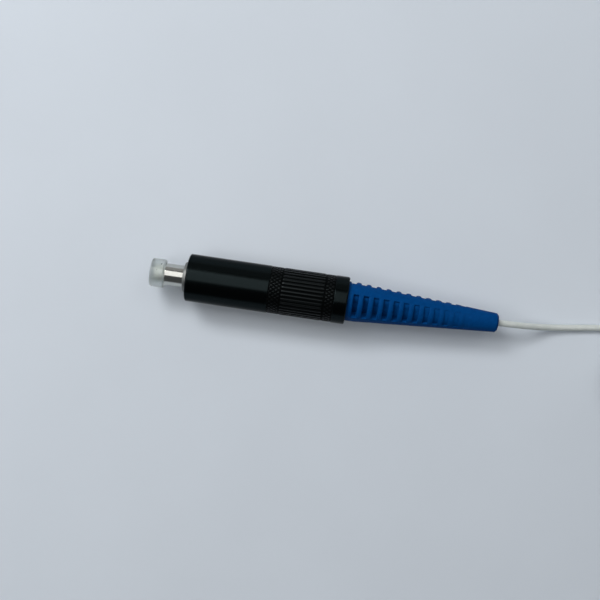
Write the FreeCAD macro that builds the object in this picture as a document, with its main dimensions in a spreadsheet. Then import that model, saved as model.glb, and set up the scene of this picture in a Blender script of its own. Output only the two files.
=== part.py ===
import FreeCAD, Part
import math
import os
import Sketcher
from FreeCAD import Placement, Rotation, Vector

# A small push-pull fibre optic plug on a white buffered fibre, lying on a flat surface.
# The plug's axis runs along X, with the dust cap at -X and the cable at +X.
# Z is up, the surface is z = 0, and x = 0 is half-way from the cap's face to the boot's tip.
# Every name ending in _back is a distance behind the front face of the dust cap.
dimensions = {
    # Overall
    "half_length": 24.55,
    "axis_height": 3.35,
    # Dust cap
    "cap_radius": 2.0,
    "cap_length": 1.87,
    "cap_wall": 0.4,
    "cap_bore": 1.27,
    "cap_round": 0.3,
    # Ferrule, its fibre and its holder
    "ferrule_back": 0.5,
    "ferrule_radius": 1.25,
    "ferrule_length": 12.15,
    "ferrule_chamfer": 0.2,
    "ferrule_bore": 0.07,
    "glass_radius": 0.0625,
    "coating_radius": 0.125,
    "coating_length": 1.4,
    "holder_back": 11.7,
    "holder_radius": 1.8,
    "holder_flange": 1.85,
    "holder_socket": 0.95,
    "holder_neck_radius": 0.8,
    "holder_length": 5.65,
    "buffer_radius": 0.45,
    "buffer_back": 14.05,
    "buffer_length": 30.45,
    # Plug body
    "nose_back": 1.92,
    "nose_radius": 1.55,
    "nose_chamfer": 0.12,
    "nose_bore": 1.28,
    "collar_back": 4.68,
    "collar_radius": 2.1,
    "collar_chamfer": 0.1,
    "flange_back": 11.45,
    "flange_radius": 2.7,
    "flange_length": 1.0,
    "barrel_radius": 2.2,
    "chamber_back": 11.65,
    "chamber_radius": 1.85,
    "body_end_back": 21.55,
    # Latch fingers and the ring that keeps them on the body
    "latch_back": 6.55,
    "latch_length": 4.9,
    "latch_outer": 2.72,
    "latch_inner": 2.45,
    "latch_hook": 2.35,
    "latch_hook_length": 0.8,
    "latch_base_inner": 2.13,
    "latch_base_length": 1.3,
    "latch_slot_half": 0.25,
    "latch_slot_length": 3.4,
    "latch_slots": 6,
    "clip_back": 9.8,
    "clip_width": 0.35,
    "clip_inner": 1.95,
    "clip_outer": 2.35,
    "clip_sweep": 320,
    # Release sleeve and its grip band
    "sleeve_back": 5.23,
    "sleeve_length": 22.61,
    "sleeve_radius": 3.35,
    "sleeve_chamfer": 0.18,
    "mouth_radius": 3.0,
    "mouth_length": 1.22,
    "lock_land_radius": 2.8,
    "lock_land_length": 1.0,
    "front_bore": 2.95,
    "stop_land_back": 12.5,
    "stop_land_radius": 2.26,
    "stop_land_length": 1.5,
    "spring_bore": 2.8,
    "rear_bore": 2.9,
    "rear_bore_length": 1.75,
    "grip_back": 16.83,
    "grip_length": 9.1,
    "grip_radius": 3.33,
    "grip_seat": 3.05,
    "grip_groove": 0.12,
    "grip_rim": 0.2,
    "grip_rim_length": 0.42,
    "channel_front": 1.56,
    "channel_rear": 7.65,
    "channel_width": 0.2,
    "channel_depth": 0.18,
    "flute_half": 0.22,
    "flute_depth": 0.16,
    "flute_reach": 0.06,
    "flute_front": 1.66,
    "flute_length": 6.09,
    "flutes": 36,
    "lattice_half": 0.12,
    "lattice_depth": 0.14,
    "lattice_lean": 0.8,
    "lattice_lines": 20,
    "lattice_front_length": 1.66,
    "lattice_rear": 7.69,
    "lattice_rear_length": 1.37,
    # Springs and washer
    "ferrule_spring_back": 13.55,
    "ferrule_spring_inner": 1.25,
    "ferrule_spring_wire": 0.3,
    "ferrule_spring_pitch": 0.9,
    "ferrule_spring_travel": 4.5,
    "sleeve_spring_back": 14.0,
    "sleeve_spring_inner": 2.37,
    "sleeve_spring_wire": 0.26,
    "sleeve_spring_pitch": 1.1225,
    "sleeve_spring_travel": 4.49,
    "washer_back": 18.75,
    "washer_inner": 2.25,
    "washer_outer": 2.72,
    "washer_thickness": 0.2,
    # Rear post, rear nut and liner
    "post_back": 18.35,
    "post_radius": 1.83,
    "post_plug_length": 3.2,
    "post_flange_radius": 2.2,
    "post_flange_length": 1.4,
    "post_neck_radius": 1.5,
    "post_neck_length": 2.1,
    "post_tail_radius": 1.0,
    "post_tail_length": 4.8,
    "post_barb": 0.12,
    "post_barb_length": 0.9,
    "post_bore": 0.6,
    "nut_back": 18.95,
    "nut_radius": 2.74,
    "nut_length": 6.1,
    "nut_bore": 2.22,
    "nut_bore_length": 4.0,
    "nut_hole": 1.53,
    "liner_back": 22.0,
    "liner_outer": 0.6,
    "liner_inner": 0.5,
    "liner_length": 14.0,
    # Boot
    "boot_back": 25.05,
    "boot_length": 24.05,
    "boot_radius": 2.77,
    "boot_plain": 4.1,
    "boot_tip_radius": 1.34,
    "boot_tip_bevel": 0.25,
    "boot_socket_radius": 1.0,
    "boot_socket_length": 5.0,
    "boot_bore": 0.6,
    "boot_grip_bore": 0.45,
    "boot_grip_length": 2.6,
    "boot_core": 1.55,
    "boot_slot_front": 3.1,
    "boot_slot_width": 0.71,
    "boot_slot_pitch": 1.42,
    "boot_slots": 12,
    "boot_slot_rows": 3,
    "boot_slot_sweep": 75,
    "boot_slot_roll": 16,
    # Cable, its tied hank and the tie
    "cable_radius": 0.45,
    "hank_front": 42.0,
    "hank_length": 24.4,
    "hank_half_width": 5.1,
    "hank_centre_y": -2.5,
    "hank_corner": 5.05,
    "hank_height": 6.0,
    "tie_width": 3.0,
    "tie_thickness": 0.3,
}

doc = FreeCAD.newDocument("FibrePlug")
sheet = doc.addObject("Spreadsheet::Sheet", "Dims")
for row, (alias, value) in enumerate(dimensions.items(), start=1):
    sheet.set("A%d" % row, alias)
    sheet.set("B%d" % row, str(value))
    sheet.setAlias("B%d" % row, alias)
doc.recompute()

subparts = []


# Sizes are written as sums of sheet names, such as "nose_back - half_length".
def amount(words):
    total = 0.0
    sign = 1.0
    for word in words.split():
        if word in ("+", "-"):
            sign = 1.0 if word == "+" else -1.0
        else:
            total += sign * (dimensions[word] if word in dimensions else float(word))
    return total


def formula(words):
    return " ".join("Dims." + word if word in dimensions else word for word in words.split())


def new_body(label, back):
    body = doc.addObject("PartDesign::Body", label)
    body.Label = label
    body.setExpression("Placement.Base.x", formula(back + " - half_length"))
    body.setExpression("Placement.Base.z", formula("axis_height"))
    subparts.append(body)
    return body


def plane(body, role):
    return next(item for item in body.Origin.OriginFeatures if item.Role == role)


def hold(sketch, kind, geometry, end, words):
    # One coordinate of a corner, bound to the sheet, or held on the axis where it is nought.
    if words == "0":
        axis = -2 if kind == "DistanceX" else -1
        sketch.addConstraint(Sketcher.Constraint("PointOnObject", geometry, end, axis))
        return
    place = sketch.addConstraint(Sketcher.Constraint(kind, -1, 1, geometry, end, amount(words)))
    sketch.setExpression("Constraints[%d]" % place, formula(words))


def new_sketch(body, role, name):
    sketch = body.newObject("Sketcher::SketchObject", name)
    sketch.AttachmentSupport = [(plane(body, role), "")]
    sketch.MapMode = "FlatFace"
    return sketch


def add_outline(sketch, corners):
    # A closed outline of straight lines through corners given as pairs of size words.
    points = [Vector(amount(across), amount(up), 0) for across, up in corners]
    count = len(points)
    first = sketch.GeometryCount
    for number in range(count):
        sketch.addGeometry(Part.LineSegment(points[number], points[(number + 1) % count]), False)
    for number in range(count):
        following = first + (number + 1) % count
        sketch.addConstraint(Sketcher.Constraint("Coincident", first + number, 2, following, 1))
    for number, (across, up) in enumerate(corners):
        hold(sketch, "DistanceX", first + number, 1, across)
        hold(sketch, "DistanceY", first + number, 1, up)


def outline_sketch(body, role, corners, name):
    sketch = new_sketch(body, role, name)
    add_outline(sketch, corners)
    return sketch


def turn(body, corners, sweep="360"):
    # A turned solid: corners are (distance along the axis, radius).
    sketch = outline_sketch(body, "XZ_Plane", corners, "Profile")
    turned = body.newObject("PartDesign::Revolution", "Turned")
    turned.Profile = sketch
    turned.ReferenceAxis = (sketch, ["H_Axis"])
    turned.setExpression("Angle", formula(sweep))
    doc.recompute()
    return turned


def round_edges(body, along, radius_words, round_words):
    # Rounds the circular edge at one distance along the axis and one radius.
    base = body.Tip
    centre_x = amount(along)
    radius = amount(radius_words)
    names = []
    for number, edge in enumerate(base.Shape.Edges, start=1):
        curve = edge.Curve
        if isinstance(curve, Part.Circle) and abs(curve.Radius - radius) < 1e-4:
            if abs(curve.Center.x - centre_x) < 1e-4:
                names.append("Edge%d" % number)
    fillet = body.newObject("PartDesign::Fillet", "Round")
    fillet.Base = (base, names)
    fillet.setExpression("Radius", formula(round_words))
    doc.recompute()


def cut_along(body, sketch, start, length, lean=0.0):
    # A cut that starts at one distance along the axis and runs back, straight or leaning sideways.
    sketch.setExpression("AttachmentOffset.Base.z", formula(start))
    cut = body.newObject("PartDesign::Pocket", "Cut")
    cut.Profile = sketch
    cut.setExpression("Length", formula(length))
    if lean:
        cut.UseCustomVector = True
        cut.Direction = Vector(1, lean, 0)
        cut.AlongSketchNormal = True
    else:
        cut.Reversed = True
    doc.recompute()
    return cut


def repeat_round(body, feature, count):
    pattern = body.newObject("PartDesign::PolarPattern", "Round")
    pattern.Originals = [feature]
    pattern.Axis = (plane(body, "X_Axis"), [""])
    pattern.Angle = 360
    pattern.setExpression("Occurrences", formula(count))
    body.Tip = pattern
    doc.recompute()


# Clear dust cap: a short cup that grips the ferrule's tip in front of the nose.
def make_dust_cap():
    body = new_body("dust_cap", "0")
    turn(body, [
        ("0", "0"),
        ("0", "cap_radius"),
        ("cap_length", "cap_radius"),
        ("cap_length", "cap_bore"),
        ("cap_wall", "cap_bore"),
        ("cap_wall", "0"),
    ])
    round_edges(body, "0", "cap_radius", "cap_round")


# Ceramic ferrule with a bevelled tip and a hole for the glass.
def make_ferrule():
    body = new_body("ferrule", "ferrule_back")
    turn(body, [
        ("0", "ferrule_bore"),
        ("0", "ferrule_radius - ferrule_chamfer"),
        ("ferrule_chamfer", "ferrule_radius"),
        ("ferrule_length", "ferrule_radius"),
        ("ferrule_length", "ferrule_bore"),
    ])


# Bare glass in the ferrule, then the coated fibre behind it.
def make_glass_fibre():
    body = new_body("glass_fibre", "ferrule_back")
    turn(body, [
        ("0", "0"),
        ("0", "glass_radius"),
        ("ferrule_length", "glass_radius"),
        ("ferrule_length", "coating_radius"),
        ("ferrule_length + coating_length", "coating_radius"),
        ("ferrule_length + coating_length", "0"),
    ])


# Metal holder pressed on the ferrule's rear end: a flange for the spring and a neck for the buffer.
def make_ferrule_holder():
    body = new_body("ferrule_holder", "holder_back")
    turn(body, [
        ("0", "ferrule_radius"),
        ("0", "holder_radius"),
        ("holder_flange", "holder_radius"),
        ("holder_flange", "holder_neck_radius"),
        ("holder_length", "holder_neck_radius"),
        ("holder_length", "buffer_radius"),
        ("holder_socket", "buffer_radius"),
        ("holder_socket", "ferrule_radius"),
    ])


# The buffered fibre inside the plug, bonded in the holder.
def make_buffer_tail():
    body = new_body("buffer_tail", "buffer_back")
    turn(body, [
        ("0", "0"),
        ("0", "buffer_radius"),
        ("buffer_length", "buffer_radius"),
        ("buffer_length", "0"),
    ])


# Plated body: slim nose, collar, latch flange and a rear barrel that holds the ferrule spring.
def make_plug_body():
    body = new_body("plug_body", "nose_back")
    nose_end = "collar_back - nose_back"
    clip = "clip_back - nose_back"
    flange = "flange_back - nose_back"
    chamber = "chamber_back - nose_back"
    rear = "body_end_back - nose_back"
    turn(body, [
        ("0", "nose_bore"),
        ("0", "nose_radius - nose_chamfer"),
        ("nose_chamfer", "nose_radius"),
        (nose_end, "nose_radius"),
        (nose_end, "collar_radius - collar_chamfer"),
        (nose_end + " + collar_chamfer", "collar_radius"),
        (clip, "collar_radius"),
        (clip, "clip_inner"),
        (clip + " + clip_width", "clip_inner"),
        (clip + " + clip_width", "collar_radius"),
        (flange, "collar_radius"),
        (flange, "flange_radius"),
        (flange + " + flange_length", "flange_radius"),
        (flange + " + flange_length", "barrel_radius"),
        (rear, "barrel_radius"),
        (rear, "chamber_radius"),
        (chamber, "chamber_radius"),
        (chamber, "nose_bore"),
    ])


# Springy latch fingers around the collar, hooked inwards at their tips.
def make_latch_collet():
    body = new_body("latch_collet", "latch_back")
    base = "latch_length - latch_base_length"
    turn(body, [
        ("0", "latch_hook"),
        ("0", "latch_outer"),
        ("latch_length", "latch_outer"),
        ("latch_length", "latch_base_inner"),
        (base, "latch_base_inner"),
        (base, "latch_inner"),
        ("latch_hook_length", "latch_inner"),
        ("latch_hook_length", "latch_hook"),
    ])
    slot = outline_sketch(body, "YZ_Plane", [
        ("- latch_slot_half", "latch_base_inner"),
        ("latch_slot_half", "latch_base_inner"),
        ("latch_slot_half", "sleeve_radius"),
        ("- latch_slot_half", "sleeve_radius"),
    ], "Slot")
    cut = cut_along(body, slot, "0", "latch_slot_length")
    repeat_round(body, cut, "latch_slots")


# Open spring ring in the collar's groove.
def make_latch_clip():
    body = new_body("latch_clip", "clip_back")
    turn(body, [
        ("0", "clip_inner"),
        ("0", "clip_outer"),
        ("clip_width", "clip_outer"),
        ("clip_width", "clip_inner"),
    ], "clip_sweep")


# Black release sleeve: a plain tube outside, with lands, a spring bore and a seat for the grip band.
def make_release_sleeve():
    body = new_body("release_sleeve", "sleeve_back")
    grip = "grip_back - sleeve_back"
    stop = "stop_land_back - sleeve_back"
    land = "mouth_length + lock_land_length"
    rear = "sleeve_length - rear_bore_length"
    turn(body, [
        ("0", "mouth_radius"),
        ("0", "sleeve_radius - sleeve_chamfer"),
        ("sleeve_chamfer", "sleeve_radius"),
        (grip + " - grip_groove", "sleeve_radius"),
        (grip, "sleeve_radius - grip_groove"),
        (grip, "grip_seat"),
        (grip + " + grip_length", "grip_seat"),
        (grip + " + grip_length", "sleeve_radius - grip_groove"),
        (grip + " + grip_length + grip_groove", "sleeve_radius"),
        ("sleeve_length - sleeve_chamfer", "sleeve_radius"),
        ("sleeve_length", "sleeve_radius - sleeve_chamfer"),
        ("sleeve_length", "rear_bore"),
        (rear, "rear_bore"),
        (rear, "spring_bore"),
        (stop + " + stop_land_length", "spring_bore"),
        (stop + " + stop_land_length", "stop_land_radius"),
        (stop, "stop_land_radius"),
        (stop, "front_bore"),
        (land, "front_bore"),
        (land, "lock_land_radius"),
        ("mouth_length", "lock_land_radius"),
        ("mouth_length", "mouth_radius"),
    ])


# Moulded grip band: straight flutes in the middle, then a ring channel and a crossed lattice at each end.
def make_grip_band():
    body = new_body("grip_band", "grip_back")
    turn(body, [
        ("0", "grip_seat"),
        ("0", "grip_radius - grip_rim"),
        ("grip_rim_length", "grip_radius"),
        ("channel_front", "grip_radius"),
        ("channel_front", "grip_radius - channel_depth"),
        ("channel_front + channel_width", "grip_radius - channel_depth"),
        ("channel_front + channel_width", "grip_radius"),
        ("channel_rear", "grip_radius"),
        ("channel_rear", "grip_radius - channel_depth"),
        ("channel_rear + channel_width", "grip_radius - channel_depth"),
        ("channel_rear + channel_width", "grip_radius"),
        ("grip_length - grip_rim_length", "grip_radius"),
        ("grip_length", "grip_radius - grip_rim"),
        ("grip_length", "grip_seat"),
    ])
    flute = outline_sketch(body, "YZ_Plane", [
        ("- flute_half", "grip_radius + flute_reach"),
        ("0", "grip_radius - flute_depth"),
        ("flute_half", "grip_radius + flute_reach"),
    ], "Flute")
    cut = cut_along(body, flute, "flute_front", "flute_length")
    repeat_round(body, cut, "flutes")
    lattices = [("0", "lattice_front_length"), ("lattice_rear", "lattice_rear_length")]
    lean = dimensions["lattice_lean"]
    for start, length in lattices:
        for side in (1, -1):
            # The line crosses the top of the ring half-way along its band.
            shift = -side * lean * amount(length) / 2
            line = outline_sketch(body, "YZ_Plane", [
                ("- lattice_half", "grip_radius + flute_reach"),
                ("0", "grip_radius - lattice_depth"),
                ("lattice_half", "grip_radius + flute_reach"),
            ], "Lattice")
            line.AttachmentOffset = Placement(Vector(shift, 0, 0), Rotation())
            cut = cut_along(body, line, start, length, side * lean)
            repeat_round(body, cut, "lattice_lines")


# Coil springs: square wire on a helix about the plug's axis.
def make_spring(name):
    body = new_body(name, name + "_back")
    wire = outline_sketch(body, "XZ_Plane", [
        ("0", name + "_inner"),
        (name + "_wire", name + "_inner"),
        (name + "_wire", name + "_inner + " + name + "_wire"),
        ("0", name + "_inner + " + name + "_wire"),
    ], "Wire")
    coil = body.newObject("PartDesign::AdditiveHelix", "Coil")
    coil.Profile = wire
    coil.ReferenceAxis = (wire, ["H_Axis"])
    coil.Mode = "pitch-height-angle"
    coil.setExpression("Pitch", formula(name + "_pitch"))
    coil.setExpression("Height", formula(name + "_travel"))
    doc.recompute()


# Thin washer between the sleeve's spring and the rear nut.
def make_spring_washer():
    body = new_body("spring_washer", "washer_back")
    turn(body, [
        ("0", "washer_inner"),
        ("0", "washer_outer"),
        ("washer_thickness", "washer_outer"),
        ("washer_thickness", "washer_inner"),
    ])


# Rear post: closes the spring chamber and carries the boot on a barbed tail.
def make_rear_post():
    body = new_body("rear_post", "post_back")
    flange_end = "post_plug_length + post_flange_length"
    neck_end = flange_end + " + post_neck_length"
    tail_end = neck_end + " + post_tail_length"
    barb = tail_end + " - post_barb_length"
    turn(body, [
        ("0", "post_bore"),
        ("0", "post_radius"),
        ("post_plug_length", "post_radius"),
        ("post_plug_length", "post_flange_radius"),
        (flange_end, "post_flange_radius"),
        (flange_end, "post_neck_radius"),
        (neck_end, "post_neck_radius"),
        (neck_end, "post_tail_radius"),
        (barb, "post_tail_radius"),
        (barb, "post_tail_radius + post_barb"),
        (tail_end, "post_tail_radius - post_barb"),
        (tail_end, "post_bore"),
    ])


# Rear nut: screws on the body's rear end, clamps the post and seats the sleeve's spring.
def make_rear_nut():
    body = new_body("rear_nut", "nut_back")
    turn(body, [
        ("0", "nut_bore"),
        ("0", "nut_radius"),
        ("nut_length", "nut_radius"),
        ("nut_length", "nut_hole"),
        ("nut_bore_length", "nut_hole"),
        ("nut_bore_length", "nut_bore"),
    ])


# Thin liner tube that guides the buffer through the post and the boot.
def make_liner_tube():
    body = new_body("liner_tube", "liner_back")
    turn(body, [
        ("0", "liner_inner"),
        ("0", "liner_outer"),
        ("liner_length", "liner_outer"),
        ("liner_length", "liner_inner"),
    ])


# Blue bend-relief boot: a tapered sleeve with three rows of slots, each a third of a pitch behind the last.
def make_boot():
    body = new_body("boot", "boot_back")
    grip_start = "boot_length - boot_grip_length"
    turn(body, [
        ("0", "boot_socket_radius"),
        ("0", "boot_radius"),
        ("boot_plain", "boot_radius"),
        ("boot_length - boot_tip_bevel", "boot_tip_radius"),
        ("boot_length", "boot_tip_radius - boot_tip_bevel"),
        ("boot_length", "boot_grip_bore"),
        (grip_start, "boot_grip_bore"),
        (grip_start, "boot_bore"),
        ("boot_socket_length", "boot_bore"),
        ("boot_socket_length", "boot_socket_radius"),
    ])
    rows = dimensions["boot_slot_rows"]
    for number in range(rows):
        slot = outline_sketch(body, "XZ_Plane", [
            ("boot_slot_front", "boot_core"),
            ("boot_slot_front + boot_slot_width", "boot_core"),
            ("boot_slot_front + boot_slot_width", "sleeve_radius"),
            ("boot_slot_front", "sleeve_radius"),
        ], "Slot")
        # The middle row faces up, rolled a little to one side.
        behind = number * dimensions["boot_slot_pitch"] / rows
        roll = dimensions["boot_slot_roll"] + (number - 1) * 360 / rows
        slot.AttachmentOffset = Placement(Vector(behind, 0, 0), Rotation(Vector(1, 0, 0), roll))
        groove = body.newObject("PartDesign::Groove", "Groove")
        groove.Profile = slot
        groove.ReferenceAxis = (slot, ["H_Axis"])
        groove.Midplane = True
        groove.setExpression("Angle", formula("boot_slot_sweep"))
        doc.recompute()
        row = body.newObject("PartDesign::LinearPattern", "Row")
        row.Originals = [groove]
        row.Direction = (slot, ["H_Axis"])
        row.setExpression("Occurrences", formula("boot_slots"))
        row.setExpression("Length", "Dims.boot_slot_pitch * (Dims.boot_slots - 1)")
        body.Tip = row
        doc.recompute()


# The cable's route: out of the boot, down to the surface and along it to the hank.
cable_route = [
    (21.05, 0.0, 3.35),
    (26.6, 0.0, 3.35),
    (32.7, 0.42, 0.46),
    (39.0, 1.4, 0.46),
    (45.2, 2.1, 0.46),
]
# Each bend takes this share of the shorter run beside it.
bend_share = 0.45


def route_edges(points):
    # Straight runs joined by tangent arcs, with the radius of each arc printed.
    edges = []
    start = points[0]
    for before, corner, after in zip(points, points[1:], points[2:]):
        back = (before - corner).normalize()
        ahead = (after - corner).normalize()
        turn_angle = math.pi - back.getAngle(ahead)
        reach = bend_share * min((corner - before).Length, (after - corner).Length)
        radius = reach / math.tan(turn_angle / 2)
        print("cable bend radius %.2f mm" % radius)
        enter = corner + back * reach
        leave = corner + ahead * reach
        inward = (back + ahead).normalize()
        middle = corner + inward * (radius / math.cos(turn_angle / 2) - radius)
        edges.append(Part.LineSegment(start, enter).toShape())
        edges.append(Part.Arc(enter, middle, leave).toShape())
        start = leave
    edges.append(Part.LineSegment(start, points[-1]).toShape())
    return edges


def make_cable():
    points = [Vector(*point) for point in cable_route]
    path = Part.Wire(route_edges(points))
    radius = float(sheet.get("cable_radius"))
    ring = Part.Wire(Part.makeCircle(radius, points[0], points[1] - points[0]))
    tube = path.makePipeShell([ring], True, False)
    expected = math.pi * radius ** 2 * path.Length
    print("cable run %.2f mm, volume over section times length %.4f" % (path.Length, tube.Volume / expected))
    cable = doc.addObject("Part::Feature", "cable")
    cable.Label = "cable"
    cable.Shape = tube
    cable.Placement = Placement()
    subparts.append(cable)


def new_hank_body(label):
    # Hank pieces stand on the surface, so their frame is at its height.
    body = doc.addObject("PartDesign::Body", label)
    body.Label = label
    body.setExpression("Placement.Base.x", formula("hank_front"))
    body.setExpression("Placement.Base.y", formula("hank_centre_y"))
    subparts.append(body)
    return body


def band_sketch(body, name):
    # A rectangular ring around the hank's waist, seen along the hank.
    sketch = outline_sketch(body, "YZ_Plane", [
        ("- hank_half_width", "0"),
        ("hank_half_width", "0"),
        ("hank_half_width", "hank_height"),
        ("- hank_half_width", "hank_height"),
    ], name)
    add_outline(sketch, [
        ("tie_thickness - hank_half_width", "tie_thickness"),
        ("hank_half_width - tie_thickness", "tie_thickness"),
        ("hank_half_width - tie_thickness", "hank_height - tie_thickness"),
        ("tie_thickness - hank_half_width", "hank_height - tie_thickness"),
    ])
    middle = "(Dims.hank_length - Dims.tie_width) / 2"
    sketch.setExpression("AttachmentOffset.Base.z", middle)
    return sketch


# The spare cable, folded into a round-ended hank with a waist under its tie.
def make_cable_hank():
    body = new_hank_body("cable_hank")
    block = outline_sketch(body, "XY_Plane", [
        ("0", "- hank_half_width"),
        ("hank_length", "- hank_half_width"),
        ("hank_length", "hank_half_width"),
        ("0", "hank_half_width"),
    ], "Block")
    pad = body.newObject("PartDesign::Pad", "Pad")
    pad.Profile = block
    pad.setExpression("Length", formula("hank_height"))
    doc.recompute()
    upright = []
    for number, edge in enumerate(pad.Shape.Edges, start=1):
        ends = [vertex.Point for vertex in edge.Vertexes]
        if abs(ends[0].x - ends[1].x) < 1e-6 and abs(ends[0].y - ends[1].y) < 1e-6:
            upright.append("Edge%d" % number)
    ends_round = body.newObject("PartDesign::Fillet", "Ends")
    ends_round.Base = (pad, upright)
    ends_round.setExpression("Radius", formula("hank_corner"))
    doc.recompute()
    waist = band_sketch(body, "Waist")
    cut = body.newObject("PartDesign::Pocket", "Cut")
    cut.Profile = waist
    cut.setExpression("Length", formula("tie_width"))
    cut.Reversed = True
    doc.recompute()


def make_hank_tie():
    body = new_hank_body("hank_tie")
    band = band_sketch(body, "Band")
    pad = body.newObject("PartDesign::Pad", "Pad")
    pad.Profile = band
    pad.setExpression("Length", formula("tie_width"))
    doc.recompute()


make_dust_cap()
make_ferrule()
make_glass_fibre()
make_ferrule_holder()
make_spring("ferrule_spring")
make_buffer_tail()
make_plug_body()
make_latch_collet()
make_latch_clip()
make_release_sleeve()
make_grip_band()
make_spring("sleeve_spring")
make_spring_washer()
make_rear_post()
make_rear_nut()
make_liner_tube()
make_boot()
make_cable()
make_cable_hank()
make_hank_tie()
doc.recompute()

for item in doc.Objects:
    if "Invalid" in item.State or "Error" in item.State:
        raise RuntimeError("%s failed: %s" % (item.Label, item.State))
for item in subparts:
    shape = item.Shape
    if shape.isNull() or not shape.isValid() or not shape.Solids:
        raise RuntimeError("%s has no sound shape" % item.Label)

os.makedirs("parts", exist_ok=True)
for item in subparts:
    box = item.Shape.BoundBox
    item.Shape.exportStep("parts/%s.step" % item.Label)
    print("%-15s solids %d  volume %8.3f  x %7.2f to %7.2f  z %6.2f to %6.2f" % (
        item.Label, len(item.Shape.Solids), item.Shape.Volume, box.XMin, box.XMax, box.ZMin, box.ZMax))
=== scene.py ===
import bpy
import math
from mathutils import Matrix, Vector


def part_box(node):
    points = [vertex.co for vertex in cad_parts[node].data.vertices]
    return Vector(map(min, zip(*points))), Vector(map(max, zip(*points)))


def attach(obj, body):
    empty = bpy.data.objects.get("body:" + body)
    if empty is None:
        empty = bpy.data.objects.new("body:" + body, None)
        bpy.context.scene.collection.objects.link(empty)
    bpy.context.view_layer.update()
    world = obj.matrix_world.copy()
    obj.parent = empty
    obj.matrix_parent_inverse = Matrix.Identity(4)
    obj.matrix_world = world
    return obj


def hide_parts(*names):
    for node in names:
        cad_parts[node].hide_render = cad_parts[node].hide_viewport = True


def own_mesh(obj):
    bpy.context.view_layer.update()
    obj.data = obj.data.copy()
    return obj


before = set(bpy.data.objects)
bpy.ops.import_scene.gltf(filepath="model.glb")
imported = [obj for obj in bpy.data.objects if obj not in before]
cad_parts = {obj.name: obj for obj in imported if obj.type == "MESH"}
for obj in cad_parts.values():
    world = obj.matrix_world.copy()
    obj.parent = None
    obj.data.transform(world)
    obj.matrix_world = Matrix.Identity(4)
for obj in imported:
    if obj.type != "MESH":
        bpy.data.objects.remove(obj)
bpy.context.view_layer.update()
print("frame loaded:", len(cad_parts), "nodes")

mm = 0.001
scene = bpy.context.scene
scene.view_settings.view_transform = "Standard"

# The plug's axis runs along X at the height of the sleeve's middle.
sleeveLow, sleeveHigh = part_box("release_sleeve")
axisZ = (sleeveLow.z + sleeveHigh.z) / 2


# Camera, looking down on the plug and turned so that it slopes to the lower right
cameraSet = {
    "lens": 60.0,
    "place": (-0.05, -0.865, 144.0),  # millimetres, as the aim and the near clip
    "aim": (-3.25, -0.865, 3.35),
    "nearClip": 5.0,
    "roll": 8.42,
}


def addCamera():
    roll = math.radians(cameraSet["roll"])
    place = Vector(cameraSet["place"]) * mm
    aim = Vector(cameraSet["aim"]) * mm
    back = (place - aim).normalized()
    right = Vector((-math.sin(roll), math.cos(roll), 0)).cross(back).normalized()
    up = back.cross(right)
    bpy.ops.object.camera_add()
    camera = bpy.context.object
    camera.data.lens = cameraSet["lens"]
    camera.data.clip_start = cameraSet["nearClip"] * mm
    camera.matrix_world = Matrix.Translation(place) @ Matrix((right, up, back)).transposed().to_4x4()
    scene.camera = camera


# Most light comes from beyond the plug, more of it from the left; the strip overhead draws the streaks.
# Places and sizes are in metres, leans in degrees, and glow is the brightness of a lamp's face.
lampSet = {
    "overheadStrip": {"place": (-0.04, 0.081, 0.3), "size": (0.12, 0.29), "lean": 0, "glow": 1.5},
    "farLeft": {"place": (-0.3, 0.28, 0.375), "size": (0.32, 0.16), "lean": 0, "glow": 11.9},
    "farRight": {"place": (0.2, 0.28, 0.375), "size": (0.16, 0.16), "lean": 0, "glow": 3.2},
    "midLeft": {"place": (-0.3, 0.125, 0.375), "size": (0.32, 0.15), "lean": 0, "glow": 3.7},
    "midRight": {"place": (0.2, 0.125, 0.375), "size": (0.16, 0.15), "lean": 0, "glow": 1.0},
    "nearLeft": {"place": (-0.3, -0.12, 0.375), "size": (0.32, 0.14), "lean": 0, "glow": 2.8},
    "nearRight": {"place": (0.2, -0.12, 0.375), "size": (0.16, 0.14), "lean": 0, "glow": 0.8},
    "farWall": {"place": (0.0, 0.6, 0.27), "size": (1.2, 0.46), "lean": -90, "glow": 0.25},
}


def addLights():
    for name, values in lampSet.items():
        lean = (math.radians(values["lean"]), 0, 0)
        bpy.ops.object.light_add(type="AREA", location=values["place"], rotation=lean)
        lamp = bpy.context.object
        lamp.name = name
        lamp.data.shape = "RECTANGLE"
        lamp.data.size, lamp.data.size_y = values["size"]
        lamp.data.energy = values["glow"] * math.pi * lamp.data.size * lamp.data.size_y
    print("lamps:", len(lampSet))


# Dim room, with a pale backdrop low down that only the camera, gloss and clear plastic see
roomSet = {
    "color": (0.9, 0.96, 1.0),
    "strength": 0.08,
    "backdrop": (0.50, 0.545, 0.595),
    "backdropTop": (0.04, 0.22),  # height of a ray's direction where the backdrop fades out
}


def addRoom():
    world = bpy.data.worlds.new("dimRoom")
    world.use_nodes = True
    tree = world.node_tree
    room = tree.nodes["Background"]
    room.inputs["Color"].default_value = (*roomSet["color"], 1)
    room.inputs["Strength"].default_value = roomSet["strength"]
    backdrop = addNode(tree, "ShaderNodeBackground", Color=(*roomSet["backdrop"], 1))
    direction = addNode(tree, "ShaderNodeTexCoord").outputs["Generated"]
    low = valueRange(tree, splitAxes(tree, direction)["Z"], 1, 0, *roomSet["backdropTop"])
    rays = addNode(tree, "ShaderNodeLightPath").outputs
    seen = addMath(tree, "MAXIMUM", rays["Is Camera Ray"], rays["Is Glossy Ray"])
    seen = addMath(tree, "MAXIMUM", seen, rays["Is Transmission Ray"])
    share = addMath(tree, "MULTIPLY", low, seen)
    mixShaders(tree, share, room.outputs["Background"], backdrop.outputs["Background"], "World Output")
    scene.world = world


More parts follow.
